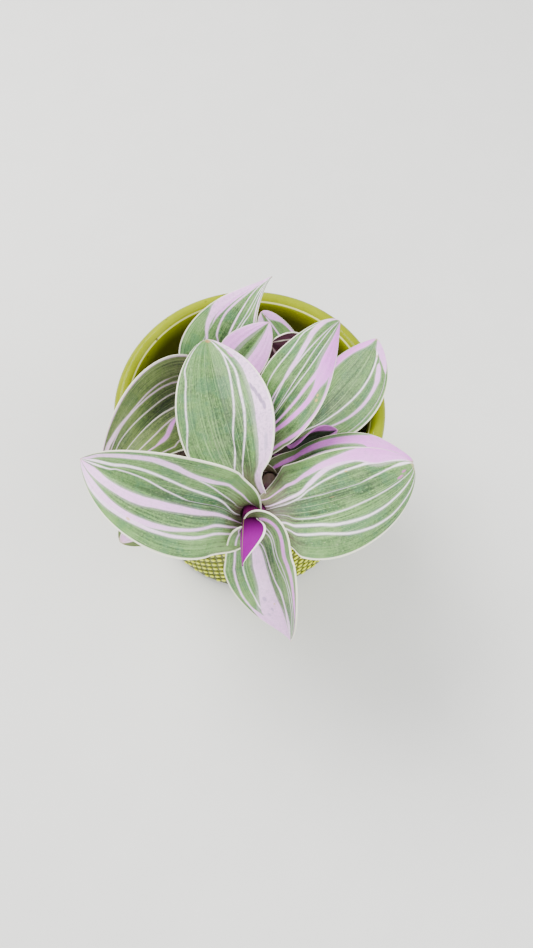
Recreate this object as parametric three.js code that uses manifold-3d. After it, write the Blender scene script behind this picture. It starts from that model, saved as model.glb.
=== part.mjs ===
// Potted tradescantia: a striped house plant with broad pointed leaves, in a glazed pot
// whose wall has courses of small raised ovals. Millimetres, +Z up.
// The origin is the middle of the pot's flat base. The tallest shoot leans towards -Y.
import * as THREE from "three";
import { mergeVertices } from "three/addons/utils/BufferGeometryUtils.js";
import Module from "manifold-3d";

const wasm = await Module();
wasm.setup();

// Driving dimensions of the pot
const potHeight = 111;
const rimRadius = 60; // outer edge of the lip
const baseRadius = 56.6; // over the relief at the foot
const lipWidth = 7.6; // across the rounded lip
const lipDepth = 8.5; // plain band under the top of the lip
const footRounding = 2.4;
const floorThickness = 7.5;
const innerFloorRadius = 47.5;
const ovalCourses = 13; // rows of raised ovals up the wall
const ovalsRound = 30; // ovals in a course
const ovalHeight = 0.9; // how far an oval stands out
const courseRidge = 0.25; // the low ridge that joins the ovals of a course

// Driving dimensions of the soil and the plant
const soilDepthBelowRim = 28;
const soilClearance = 0.45; // between soil and pot
const soilSteps = 40; // round the soil
const soilLump = 1.1; // height of the lumps in the soil's top
const holeClearance = 0.4; // round a stem in the soil
const holeReach = 0.6; // share of a stem's curve that the hole follows, well clear of the soil
const holeDeepening = 0.04; // how far the hole goes on below the stem's foot
const stemSides = 8;
const stemSteps = 14;
const nodeSwelling = 0.16; // how much slimmer a stem is between its nodes
const nodeReach = 0.05; // half length of a node, as a share of the stem
const bladeThickness = 0.7;
const leafStandOff = 1.2; // between a leaf's foot and its stem
const claspAngle = 45; // how steeply the foot of a leaf folds round its stem
const claspReach = 0.1; // share of the leaf over which that fold opens
const neckShare = 0.17; // width of the foot, as a share of the full width
const neckReach = 0.16; // share of the leaf over which the foot widens
const tipHalfWidth = 0.3;
const rowLength = 5; // length of a strip along a blade
const fewestRows = 8;
const columns = 6; // strips across a blade
const rolledColumns = 10;

// A stem is one curve from its foot in the soil to its head.
const stems = {
  front: { radius: 3, foot: [5, -16, 68], low: [11, -24, 97], high: [7, -43, 117], head: [0, -62, 138] },
  right: { radius: 2.6, foot: [23, -6, 68], low: [19, -7, 87], high: [14, -17, 101], head: [3, -23, 116] },
  back: { radius: 2.6, foot: [-8, 24, 68], low: [-15, 18, 80], high: [-24, 14, 98], head: [-14, 9, 115] },
  rear: { radius: 2.4, foot: [33, 11, 68], low: [33, 14, 87], high: [28, 21, 94], head: [25, 18, 112] },
};

// A leaf leaves its stem at a share of the way up. heading turns from +X towards +Y, and sweep
// is how far it turns on the way to the tip. rise is the slope at the foot, droop how much of it
// is lost by the tip, and roll leans the blade about its midrib, at the foot and at the tip.
// widest and fullness shape the outline. fold is the slope of each half at the midrib, and
// edge the slope at the left and the right margin. All angles are in degrees.
const leaves = {
  front_left_leaf: {
    stem: "front", at: 0.9, standOff: 3.6, length: 70, width: 44, heading: 196, sweep: -58,
    rise: 49, droop: 66, roll: [-48, -23], widest: 0.36, fullness: 0.53, fold: 22, edge: [8, 31],
  },
  front_right_leaf: {
    stem: "front", at: 0.94, length: 60, width: 48, heading: 4, sweep: 24, rise: 7, droop: 11,
    roll: [-9, 13], widest: 0.38, fullness: 0.32, fold: -4, edge: [-43, -40],
  },
  front_hanging_leaf: {
    stem: "front", at: 0.9, length: 59, width: 37, heading: -87, sweep: 27, rise: -7, droop: 63,
    roll: [23, 60], widest: 0.34, fullness: 0.73, fold: 25, edge: [33, 13],
  },
  front_upright_leaf: {
    stem: "front", at: 0.89, length: 69, width: 41, heading: 109, sweep: -10, rise: 15, droop: 17,
    roll: [-33, 16], widest: 0.44, fullness: 0.55, fold: 19, edge: [-7, 12],
  },
  front_low_right_leaf: {
    stem: "front", at: 0.5, standOff: 2, length: 60, width: 38, heading: 6, sweep: -21, rise: 54,
    droop: 57, roll: [-11, -28], widest: 0.52, fullness: 0.74, fold: 2, edge: [-26, -10],
  },
  front_low_left_leaf: {
    stem: "front", at: 0.51, standOff: 1.8, length: 66, width: 32, heading: 197, sweep: 19,
    rise: 36, droop: 51, roll: [4, -5], widest: 0.44, fullness: 0.48, fold: 15, edge: [-8, -9],
  },
  right_long_leaf: {
    stem: "right", at: 1, length: 65, width: 30, heading: 38, sweep: 21, rise: 77, droop: 99,
    roll: [-24, 50], widest: 0.33, fullness: 0.35, fold: 7, edge: [-32, -24],
  },
  right_broad_leaf: {
    stem: "right", at: 0.61, length: 60, width: 40, heading: 27, sweep: 32, rise: 29, droop: 19,
    roll: [-32, 0], widest: 0.46, fullness: 0.68, fold: 1, edge: [-45, -20],
  },
  right_curled_leaf: {
    stem: "right", at: 0.845, length: 27, width: 19, heading: 9, sweep: -2, rise: -6, droop: -23,
    roll: [98, -8], widest: 0.42, fullness: 0.58, fold: 43, edge: [80, 20],
  },
  back_tall_leaf: {
    stem: "back", at: 0.72, standOff: 1.5, length: 57, width: 37, heading: 64, sweep: -32, rise: 69, droop: 52,
    roll: [10, -1], widest: 0.25, fullness: 0.44, fold: 16, edge: [-4, -9],
  },
  back_small_leaf: {
    stem: "back", at: 0.98, length: 33, width: 24, heading: 21, sweep: 27, rise: 46, droop: 14,
    roll: [4, 9], widest: 0.4, fullness: 0.51, fold: 26, edge: [-12, -13],
  },
  back_left_leaf: {
    stem: "back", at: 0.72, standOff: 4, length: 82, width: 43, heading: 228, sweep: 17, rise: 60,
    droop: 79, roll: [-47, -6], widest: 0.28, fullness: 0.48, fold: 22, edge: [-10, 26],
  },
  rear_upright_leaf: {
    stem: "rear", at: 0.62, length: 38, width: 26, heading: 135, sweep: -3, rise: 31, droop: -16,
    roll: [10, 20], widest: 0.44, fullness: 0.46, fold: 11, edge: [-10, -26],
  },
  rear_sideways_leaf: {
    stem: "rear", at: 0.97, standOff: 1.6, length: 23, width: 21, heading: 166, sweep: 32, rise: 76,
    droop: 35, roll: [98, 95], widest: 0.47, fullness: 0.59, fold: 13, edge: [16, 0],
  },
};

// The youngest leaf is still rolled into a tube, and grows out of the head of the front stem.
const rolledLeaf = {
  stem: "front", at: 1, length: 25, width: 23, heading: -95, sweep: 5, rise: 36, droop: 14,
  roll: [-105, -105], widest: 0.36, fullness: 0.5, fold: 12, edge: [150, 160], rolled: true,
  aside: [-3.4, 0, 0],
};

// Colour and roughness of each kind of piece
const glaze = ["#a9b13a", 0.18];
const compost = ["#3a2a1e", 0.95];
const stemSkin = ["#8a6a72", 0.5];
const leafSkin = ["#9fbb90", 0.45];
const shadedSkin = ["#87976b", 0.45]; // leaves low down, greener for want of light
const pinkSkin = ["#c9b2cf", 0.45];
const youngSkin = ["#c565c8", 0.4];
const skins = {
  back_left_leaf: shadedSkin,
  front_low_left_leaf: shadedSkin,
  back_small_leaf: pinkSkin,
  right_curled_leaf: youngSkin,
};

const radians = THREE.MathUtils.degToRad;
const point = (p) => new THREE.Vector3(...p);

function piece(name, geometry, [color, roughness]) {
  const material = new THREE.MeshStandardMaterial({ color, roughness, metalness: 0 });
  const mesh = new THREE.Mesh(geometry, material);
  mesh.name = name;
  return mesh;
}

// Pot -------------------------------------------------------------------------------------

const wallTop = potHeight - lipDepth;
const courseHeight = (wallTop - footRounding) / ovalCourses;
const footWall = baseRadius - ovalHeight;
const topWall = rimRadius - 2.1;
const innerRadius = rimRadius - lipWidth;

function wallRadius(z) {
  return THREE.MathUtils.lerp(footWall, topWall, z / wallTop);
}

// Inside of the pot from the lip down to the floor, as [radius, height].
const potInside = [
  [innerRadius, potHeight - 4.6],
  [innerRadius - 0.6, potHeight - 30],
  [innerRadius - 2, 32],
  [innerRadius - 3, 14],
  [innerFloorRadius, floorThickness + 1.2],
  [innerFloorRadius - 3, floorThickness],
];

function potGeometry() {
  const profile = [[0, 0], [footWall - footRounding, 0]];
  const crests = new Map(); // profile index of each course's crest, to the number of the course
  for (let course = 0; course < ovalCourses; course++) {
    const foot = footRounding + course * courseHeight;
    profile.push([wallRadius(foot), foot]);
    crests.set(profile.length, course);
    profile.push([wallRadius(foot) + courseRidge, foot + courseHeight / 2]);
  }
  profile.push(
    [topWall, wallTop],
    [rimRadius - 0.5, wallTop + 1],
    [rimRadius, wallTop + 3],
    [rimRadius - 0.4, potHeight - 2.6],
    [rimRadius - 1.9, potHeight - 0.6],
    [rimRadius - 3.8, potHeight],
    [rimRadius - 5.8, potHeight - 0.8],
    [innerRadius + 0.5, potHeight - 2.4],
    ...potInside,
    [0, floorThickness],
  );
  const steps = ovalsRound * 2;
  const shape = new THREE.LatheGeometry(profile.map(([r, z]) => new THREE.Vector2(r, z)), steps);
  shape.rotateX(Math.PI / 2);
  const place = shape.attributes.position;
  for (let i = 0; i < place.count; i++) {
    const course = crests.get(i % profile.length);
    if (course === undefined) continue;
    const step = Math.floor(i / profile.length);
    if ((step + course) % 2 === 1) continue; // every other crest point stands out, staggered by course
    const x = place.getX(i);
    const y = place.getY(i);
    const grow = 1 + (ovalHeight - courseRidge) / Math.hypot(x, y);
    place.setXY(i, x * grow, y * grow);
  }
  return shape;
}

// Leaves ----------------------------------------------------------------------------------

function stemCurve(stem) {
  return new THREE.CubicBezierCurve3(point(stem.foot), point(stem.low), point(stem.high), point(stem.head));
}

function leafDirection(leaf, along) {
  const slope = radians(leaf.rise - leaf.droop * along);
  const heading = radians(leaf.heading + leaf.sweep * along);
  const level = Math.cos(slope);
  return new THREE.Vector3(level * Math.cos(heading), level * Math.sin(heading), Math.sin(slope));
}

// Where the midrib starts: on the side of the stem that the leaf points to.
function leafFoot(leaf) {
  const stem = stems[leaf.stem];
  const curve = stemCurve(stem);
  const onAxis = curve.getPoint(leaf.at);
  const upStem = curve.getTangent(leaf.at);
  if (leaf.rolled) return onAxis.addScaledVector(upStem, leafStandOff).add(point(leaf.aside));
  const heading = radians(leaf.heading);
  const side = new THREE.Vector3(Math.cos(heading), Math.sin(heading), 0);
  side.addScaledVector(upStem, -side.dot(upStem)).normalize();
  return onAxis.addScaledVector(side, stem.radius + (leaf.standOff ?? leafStandOff));
}

function halfWidth(leaf, along) {
  const tipPower = (leaf.fullness * (1 - leaf.widest)) / leaf.widest;
  const full =
    (along / leaf.widest) ** leaf.fullness * ((1 - along) / (1 - leaf.widest)) ** tipPower;
  const opened = THREE.MathUtils.smoothstep(along, 0, neckReach);
  const share = neckShare * (1 - opened) + full * opened;
  return Math.max((leaf.width / 2) * share, tipHalfWidth);
}

// A half blade's section is an arc whose slope goes from the fold at the midrib to the edge's.
function sectionPoint(leaf, along, across) {
  const spread = Math.abs(across);
  const clasp = leaf.rolled ? leaf.fold : claspAngle;
  const fold = leaf.fold + (clasp - leaf.fold) * Math.exp(-along / claspReach);
  const turn = radians(leaf.edge[across >= 0 ? 0 : 1] - leaf.fold);
  const start = radians(fold);
  const end = start + turn * spread;
  const size = halfWidth(leaf, along);
  const out = turn === 0 ? Math.cos(start) * spread : (Math.sin(end) - Math.sin(start)) / turn;
  const up = turn === 0 ? Math.sin(start) * spread : (Math.cos(start) - Math.cos(end)) / turn;
  return [size * out * Math.sign(across), size * up];
}

// The middle surface of a blade as rows of points from foot to tip, each from margin to margin.
function leafRows(leaf, rowCount, columnCount) {
  const midrib = leafFoot(leaf);
  const strides = 4; // small strides of the midrib in each row
  const rows = [];
  for (let row = 0; row <= rowCount; row++) {
    const along = row / rowCount;
    const forward = leafDirection(leaf, along);
    const heading = radians(leaf.heading + leaf.sweep * along);
    const level = new THREE.Vector3(-Math.sin(heading), Math.cos(heading), 0);
    const above = new THREE.Vector3().crossVectors(forward, level);
    const lean = radians(THREE.MathUtils.lerp(leaf.roll[0], leaf.roll[1], along));
    const left = level.clone().multiplyScalar(Math.cos(lean)).addScaledVector(above, Math.sin(lean));
    const up = above.clone().multiplyScalar(Math.cos(lean)).addScaledVector(level, -Math.sin(lean));
    const points = [];
    for (let column = 0; column <= columnCount; column++) {
      const [out, lift] = sectionPoint(leaf, along, (2 * column) / columnCount - 1);
      points.push(midrib.clone().addScaledVector(left, out).addScaledVector(up, lift));
    }
    rows.push(points);
    for (let stride = 0; stride < strides; stride++) {
      const middle = (row + (stride + 0.5) / strides) / rowCount;
      midrib.addScaledVector(leafDirection(leaf, middle), leaf.length / rowCount / strides);
    }
  }
  return rows;
}

// A closed thin solid round the middle surface, split into triangles alike on both faces.
function sheetGeometry(rows, thickness) {
  const rowCount = rows.length - 1;
  const columnCount = rows[0].length - 1;
  const top = [];
  const bottom = [];
  rows.forEach((points, row) => {
    points.forEach((here, column) => {
      const before = rows[Math.max(row - 1, 0)][column];
      const after = rows[Math.min(row + 1, rowCount)][column];
      const right = points[Math.max(column - 1, 0)];
      const left = points[Math.min(column + 1, columnCount)];
      const ahead = new THREE.Vector3().subVectors(after, before);
      const sideways = new THREE.Vector3().subVectors(left, right);
      const normal = new THREE.Vector3().crossVectors(ahead, sideways).normalize();
      top.push(here.clone().addScaledVector(normal, thickness / 2));
      bottom.push(here.clone().addScaledVector(normal, -thickness / 2));
    });
  });
  const vertices = [...top, ...bottom];
  const under = top.length;
  const at = (row, column) => row * (columnCount + 1) + column;
  const faces = [];
  const quad = (a, b, c, d) => faces.push(a, b, c, a, c, d);
  for (let row = 0; row < rowCount; row++) {
    for (let column = 0; column < columnCount; column++) {
      const [a, b] = [at(row, column), at(row + 1, column)];
      const [c, d] = [at(row + 1, column + 1), at(row, column + 1)];
      quad(a, b, c, d);
      quad(under + a, under + d, under + c, under + b);
    }
    const [l0, l1] = [at(row, columnCount), at(row + 1, columnCount)];
    const [r0, r1] = [at(row, 0), at(row + 1, 0)];
    quad(l0, l1, under + l1, under + l0);
    quad(r1, r0, under + r0, under + r1);
  }
  for (let column = 0; column < columnCount; column++) {
    const [f0, f1] = [at(0, column), at(0, column + 1)];
    const [t0, t1] = [at(rowCount, column), at(rowCount, column + 1)];
    quad(f0, f1, under + f1, under + f0);
    quad(t1, t0, under + t0, under + t1);
  }
  const shape = new THREE.BufferGeometry().setFromPoints(vertices);
  shape.setIndex(faces);
  return shape;
}

function leafGeometry(leaf) {
  const rowCount = Math.max(fewestRows, Math.round(leaf.length / rowLength));
  return sheetGeometry(leafRows(leaf, rowCount, leaf.rolled ? rolledColumns : columns), bladeThickness);
}

// Stems and soil ----------------------------------------------------------------------------

// A closed tube along a stem's curve up to a share of its length, with a radius at each point.
function tubeGeometry(stem, length, radiusAt, sides, steps) {
  const curve = stemCurve(stem);
  const vertices = [];
  for (let step = 0; step <= steps; step++) {
    const share = (length * step) / steps;
    const centre = curve.getPoint(share);
    const forward = curve.getTangent(share);
    const across = new THREE.Vector3(0, 1, 0).cross(forward).normalize();
    const other = new THREE.Vector3().crossVectors(forward, across);
    for (let side = 0; side < sides; side++) {
      const turn = (side / sides) * 2 * Math.PI;
      const ring = centre.clone().addScaledVector(across, radiusAt(share) * Math.cos(turn));
      vertices.push(ring.addScaledVector(other, radiusAt(share) * Math.sin(turn)));
    }
  }
  const faces = [];
  for (let step = 0; step < steps; step++) {
    for (let side = 0; side < sides; side++) {
      const [a, b] = [step * sides + side, step * sides + ((side + 1) % sides)];
      faces.push(a, b, b + sides, a, b + sides, a + sides);
    }
  }
  const last = steps * sides;
  for (let side = 1; side < sides - 1; side++) {
    faces.push(0, side + 1, side, last, last + side, last + side + 1);
  }
  const shape = new THREE.BufferGeometry().setFromPoints(vertices);
  shape.setIndex(faces);
  return shape;
}

// A stem is full width at its nodes, where the leaves grow, and slimmer between them.
function stemRadius(name, share) {
  const nodes = Object.values(leaves).filter((leaf) => leaf.stem === name).map((leaf) => leaf.at);
  const nearest = Math.min(...nodes.map((at) => Math.abs(at - share)));
  const swelling = Math.exp(-((nearest / nodeReach) ** 2));
  return stems[name].radius * (1 - nodeSwelling * (1 - swelling));
}

function solid(geometry) {
  const bare = new THREE.BufferGeometry().setAttribute("position", geometry.attributes.position);
  if (geometry.index) bare.setIndex(geometry.index);
  const merged = mergeVertices(bare, 1e-3);
  const [vertProperties, triVerts] = [merged.attributes.position.array, merged.index.array];
  return new wasm.Manifold(
    new wasm.Mesh({ numProp: 3, vertProperties, triVerts: new Uint32Array(triVerts) }),
  );
}

function fromSolid(body) {
  const mesh = body.getMesh();
  const shape = new THREE.BufferGeometry();
  shape.setAttribute("position", new THREE.BufferAttribute(mesh.vertProperties, 3));
  shape.setIndex(new THREE.BufferAttribute(mesh.triVerts, 1));
  return shape;
}

// The compost fills the pot, and its top is uneven. Each stem stands in a plain hole.
function soilGeometry() {
  const surface = potHeight - soilDepthBelowRim;
  const side = potInside.filter(([, z]) => z < surface - 10).reverse();
  const topRadius = innerRadius - 1.1;
  const profile = [[0, floorThickness + soilClearance]];
  for (const [r, z] of side) profile.push([r - soilClearance, z + soilClearance]);
  const firstTop = profile.length;
  for (const share of [1, 0.85, 0.68, 0.5, 0.3, 0.12]) profile.push([topRadius * share, surface]);
  profile.push([0, surface]);
  const outline = profile.map(([r, z]) => new THREE.Vector2(r, z));
  const shape = new THREE.LatheGeometry(outline, soilSteps);
  shape.rotateX(Math.PI / 2);
  const place = shape.attributes.position;
  for (let i = 0; i < place.count; i++) {
    if (i % profile.length < firstTop) continue;
    const [x, y] = [place.getX(i), place.getY(i)];
    const broad = Math.sin(x / 6.3 + 1) * Math.cos(y / 7.1);
    const fine = Math.sin(x / 2.9 - y / 3.7);
    place.setZ(i, surface + soilLump * (broad + 0.6 * fine));
  }
  let body = solid(shape);
  for (const stem of Object.values(stems)) {
    const deeper = stem.foot.map((value, axis) => value + (value - stem.low[axis]) * holeDeepening);
    const holeRadius = () => stem.radius + holeClearance;
    const hole = tubeGeometry({ ...stem, foot: deeper }, holeReach, holeRadius, stemSides, stemSteps);
    body = body.subtract(solid(hole));
  }
  return fromSolid(body);
}

// The whole plant ---------------------------------------------------------------------------

const tradescantia = new THREE.Group();
tradescantia.add(piece("pot", potGeometry(), glaze));
tradescantia.add(piece("soil", soilGeometry(), compost));
for (const [name, stem] of Object.entries(stems)) {
  const shoot = new THREE.Group();
  const radiusAt = (share) => stemRadius(name, share);
  shoot.add(piece(`${name}_stem`, tubeGeometry(stem, 1, radiusAt, stemSides, stemSteps), stemSkin));
  for (const [leafName, leaf] of Object.entries(leaves)) {
    if (leaf.stem !== name) continue;
    shoot.add(piece(leafName, leafGeometry(leaf), skins[leafName] ?? leafSkin));
  }
  tradescantia.add(shoot);
}
tradescantia.add(piece("front_rolled_leaf", leafGeometry(rolledLeaf), youngSkin));

export default tradescantia;
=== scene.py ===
import math
import random

import bmesh
import bpy
from mathutils import Matrix, Vector, noise


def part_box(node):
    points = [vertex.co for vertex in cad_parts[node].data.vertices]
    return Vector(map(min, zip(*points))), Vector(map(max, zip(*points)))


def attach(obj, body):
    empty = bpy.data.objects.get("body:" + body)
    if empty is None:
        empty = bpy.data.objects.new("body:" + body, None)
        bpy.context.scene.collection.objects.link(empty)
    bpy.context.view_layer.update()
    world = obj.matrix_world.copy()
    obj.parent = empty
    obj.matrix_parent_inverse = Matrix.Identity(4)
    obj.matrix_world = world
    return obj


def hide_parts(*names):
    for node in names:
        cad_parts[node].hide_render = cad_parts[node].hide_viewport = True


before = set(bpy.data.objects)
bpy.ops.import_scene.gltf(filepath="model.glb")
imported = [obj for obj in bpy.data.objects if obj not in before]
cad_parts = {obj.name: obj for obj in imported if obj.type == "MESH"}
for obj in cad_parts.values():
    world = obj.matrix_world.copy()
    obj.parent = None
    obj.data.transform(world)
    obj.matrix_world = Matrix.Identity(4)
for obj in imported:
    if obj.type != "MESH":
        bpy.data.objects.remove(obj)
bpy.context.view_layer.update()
mm = 0.001


def smooth(share):
    share = min(max(share, 0.0), 1.0)
    return share * share * (3 - 2 * share)


def mix(first, second, share):
    return first + (second - first) * share


def metres(values):
    return [value * mm for value in values]


def seedOf(name):
    return sum(ord(letter) for letter in name)


def colour(code):
    # Linear red, green, blue and alpha from a colour code such as #a0c090.
    parts = [int(code[place : place + 2], 16) / 255 for place in (1, 3, 5)]
    linear = [part / 12.92 if part < 0.04045 else ((part + 0.055) / 1.055) ** 2.4 for part in parts]
    return (*linear, 1.0)


class Field:
    # A number or a colour that varies over a surface. Sums on numbers become Math nodes.
    def __init__(self, skin, socket):
        self.skin = skin
        self.socket = socket

    def math(self, operation, *operands, clamp=False):
        settings = {"operation": operation, "use_clamp": clamp}
        return self.skin.node("Math", settings, dict(enumerate(operands)))

    def __add__(self, other):
        return self.math("ADD", self, other)

    def __radd__(self, other):
        return self.math("ADD", other, self)

    def __sub__(self, other):
        return self.math("SUBTRACT", self, other)

    def __rsub__(self, other):
        return self.math("SUBTRACT", other, self)

    def __mul__(self, other):
        return self.math("MULTIPLY", self, other)

    def __rmul__(self, other):
        return self.math("MULTIPLY", other, self)

    def __truediv__(self, other):
        return self.math("DIVIDE", self, other)

    def __abs__(self):
        return self.math("ABSOLUTE", self)

    def clamp(self):
        return self.math("ADD", self, 0, clamp=True)

    def larger(self, other):
        return self.math("MAXIMUM", self, other)

    def curve(self, points):
        return self.skin.node("FloatCurve", {"curve": points}, {"Value": self})

    def step(self, start, end):
        # 0 before start and 1 past end, smooth between them. start may be the larger one.
        inputs = {"Value": self, "From Min": start, "From Max": end}
        return self.skin.node("MapRange", {"interpolation_type": "SMOOTHSTEP"}, inputs)


class Skin:
    # The nodes of one material.
    def __init__(self, name):
        self.material = bpy.data.materials.new(name)
        self.material.use_nodes = True
        self.tree = self.material.node_tree
        self.tree.nodes.clear()

    def node(self, kind, settings=None, inputs=None, output=0):
        made = self.tree.nodes.new("ShaderNode" + kind)
        for name, value in (settings or {}).items():
            if name == "curve":
                setCurve(made, value)
            elif name == "stops":
                setStops(made, value)
            else:
                setattr(made, name, value)
        for name, value in (inputs or {}).items():
            if isinstance(value, Field):
                self.tree.links.new(value.socket, made.inputs[name])
            else:
                made.inputs[name].default_value = value
        return Field(self, made.outputs[output] if len(made.outputs) else None)

    def blend(self, first, second, share):
        # Goes from the first colour to the second. A colour is a code or a field.
        ends = [colour(end) if isinstance(end, str) else end for end in (first, second)]
        return self.node("Mix", {"data_type": "RGBA"}, {0: share, 6: ends[0], 7: ends[1]}, output=2)

    def place(self):
        return self.node("TexCoord", output=3)

    def uv(self):
        return self.node("UVMap", {"uv_map": "leafMap"})

    def split(self, vector):
        made = self.tree.nodes.new("ShaderNodeSeparateXYZ")
        self.tree.links.new(vector.socket, made.inputs[0])
        return [Field(self, socket) for socket in made.outputs]

    def join(self, x, y, z):
        return self.node("CombineXYZ", inputs={0: x, 1: y, 2: z})

    def noise(self, vector, scale, detail=2.0, roughness=0.5):
        inputs = {"Vector": vector, "Scale": scale, "Detail": detail, "Roughness": roughness}
        return self.node("TexNoise", inputs=inputs)

    def cells(self, vector, scale):
        return self.node("TexVoronoi", inputs={"Vector": vector, "Scale": scale})

    def finish(self, base, roughness, height=None, depth=0.1, **constants):
        inputs = {"Base Color": base, "Roughness": roughness}
        inputs.update({name.replace("_", " "): value for name, value in constants.items()})
        if height is not None:
            relief = {"Height": height, "Strength": 1.0, "Distance": depth * mm}
            inputs["Normal"] = self.node("Bump", inputs=relief)
        surface = self.node("BsdfPrincipled", inputs=inputs)
        self.node("OutputMaterial", inputs={"Surface": surface})
        return self.material


def setCurve(node, points):
    node.mapping.use_clip = False
    node.mapping.extend = "HORIZONTAL"
    line = node.mapping.curves[0]
    line.points[0].location = points[0]
    line.points[1].location = points[-1]
    for place in points[1:-1]:
        line.points.new(*place)
    for place in line.points:
        place.handle_type = "AUTO_CLAMPED"
    node.mapping.update()


def setStops(node, stops):
    ramp = node.color_ramp
    while len(ramp.elements) < len(stops):
        ramp.elements.new(0.5)
    for element, (place, code) in zip(ramp.elements, stops):
        element.position = place
        element.color = colour(code)


def deselect():
    bpy.ops.object.select_all(action="DESELECT")


def startEdit(select):
    bpy.ops.object.mode_set(mode="EDIT")
    bpy.ops.mesh.select_all(action=select)


def joined(pieces):
    deselect()
    for piece in pieces:
        piece.select_set(True)
    bpy.context.view_layer.objects.active = pieces[0]
    bpy.ops.object.join()
    return pieces[0]


def finished(piece, name, cadNode, materials):
    piece.name = name
    piece.data.name = name
    piece.data.materials.clear()
    for material in materials:
        piece.data.materials.append(material)
    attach(piece, "root")
    if cadNode:
        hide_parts(cadNode)
    return piece


def applyModifier(piece, kind, **settings):
    modifier = piece.modifiers.new(kind.title(), kind)
    for name, value in settings.items():
        setattr(modifier, name, value)
    deselect()
    piece.select_set(True)
    bpy.context.view_layer.objects.active = piece
    bpy.ops.object.modifier_apply(modifier=modifier.name)


print("frame loaded")


pot = {
    "height": 111,
    "rimRadius": 60,
    "footRadius": 55.7,
    "underLip": 57.9,
    "footRounding": 2.4,
    "footSteps": 4,
    "lipDepth": 8.5,
    "lipWidth": 7.6,
    "floor": 7.5,
    "ringBelow": 30,
    "ringInside": 20,
    "steps": 624,
    "wallSteps": 104,
    "columns": 104,
    "ovalsPerColumn": 12,
    "firstOval": 6.5,
    "lastOval": 98.5,
    "ovalHalfWidth": 1.42,
    "ovalHalfHeight": 3.1,
    "ovalSlant": 20,
    "ovalCrown": 0.62,
    "relief": 0.95,
    "reliefOutside": 54.5,
}

glaze = {
    "pooled": ("#474f06", "#5c650c"),  # between the ovals
    "crest": ("#ccd61a", "#dde43c"),  # on the ovals
    "plain": ("#7d8702", "#8b9508"),  # on the lip
    # painted shade: the inner wall below the lip is darkened for the shadow inside the pot
    "inside": "#47471e",
    "edge": "#eef09a",  # painted highlight: a pale line where the lip turns in, standing in for the glint on its rounding
    "dirt": "#38300e",
    "pit": "#6e7526",
    # Heights, and distances from the axis, between which each zone fades in.
    "wallBelow": (103.6, 102.2),
    "wallOutside": (53.8, 54.5),
    "shadeBelow": (107, 100),
    "shadeWithin": (53.5, 52.8),
    "highlightFrom": (53.1, 53.3),
    "highlightTo": (53.8, 53.6),
    "highlightAbove": (105, 107),
}


def wallRadius(z):
    return mix(pot["footRadius"], pot["underLip"], z / (pot["height"] - pot["lipDepth"]))


def throughPoints(points, steps):
    # A smooth line through the points, with a few steps between each two.
    line = []
    for i in range(len(points) - 1):
        before = Vector(points[max(i - 1, 0)])
        start = Vector(points[i])
        end = Vector(points[i + 1])
        after = Vector(points[min(i + 2, len(points) - 1)])
        for step in range(steps):
            t = step / steps
            curved = 2 * start + (end - before) * t + (2 * before - 5 * start + 4 * end - after) * t**2
            line.append((curved + (3 * start - before - 3 * end + after) * t**3) / 2)
    line.append(Vector(points[-1]))
    return line


def potProfile():
    wallTop = pot["height"] - pot["lipDepth"]
    rim = pot["rimRadius"]
    top = pot["height"]
    inner = rim - pot["lipWidth"]
    rounding = pot["footRounding"]
    profile = [Vector((0, 0)), Vector((pot["ringBelow"], 0))]
    for step in range(pot["footSteps"] + 1):
        turn = math.radians(90 * step / pot["footSteps"])
        away = wallRadius(rounding) - rounding
        profile.append(Vector((away + rounding * math.sin(turn), rounding * (1 - math.cos(turn)))))
    for step in range(1, pot["wallSteps"] + 1):
        z = mix(rounding, wallTop - 0.3, step / pot["wallSteps"])
        profile.append(Vector((wallRadius(z), z)))
    lip = [
        (pot["underLip"] + 0.2, wallTop),
        (rim - 1.0, wallTop + 0.8),
        (rim - 0.1, wallTop + 2.8),
        (rim, wallTop + 4.6),
        (rim - 0.7, top - 1.9),
        (rim - 2.3, top - 0.4),
        (rim - 3.9, top),
        (rim - 5.6, top - 0.6),
        (inner + 0.5, top - 2.2),
        (inner, top - 4.6),
        (inner - 0.1, top - 8),
    ]
    profile += throughPoints(lip, 3)
    floor = pot["floor"]
    inside = [(inner - 0.6, top - 30), (inner - 2, 32), (inner - 3, 14), (inner - 4.9, floor + 1.2)]
    inside += [(inner - 7.9, floor), (pot["ringInside"], floor), (0, floor)]
    return profile + [Vector(place) for place in inside]


def ovalRelief(turn, z):
    # How far one of the raised ovals reaches here, from 0 to 1.
    pitch = (pot["lastOval"] - pot["firstOval"]) / (pot["ovalsPerColumn"] - 1)
    column = turn / (2 * math.pi) * pot["columns"]
    slant = math.radians(pot["ovalSlant"])
    spacing = 2 * math.pi * wallRadius(z) / pot["columns"]
    best = 0.0
    for near in (math.floor(column), math.floor(column) + 1):
        offset = pitch / 2 if near % 2 else 0
        row = round((z - pot["firstOval"] - offset) / pitch)
        row = min(max(row, 0), pot["ovalsPerColumn"] - 1 - near % 2)
        aside = (column - near) * spacing
        above = z - pot["firstOval"] - offset - row * pitch
        across = aside * math.cos(slant) - above * math.sin(slant)
        along = aside * math.sin(slant) + above * math.cos(slant)
        away = (across / pot["ovalHalfWidth"]) ** 2 + (along / pot["ovalHalfHeight"]) ** 2
        if away < 1:
            best = max(best, (1 - away) ** pot["ovalCrown"])
    return best


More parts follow.
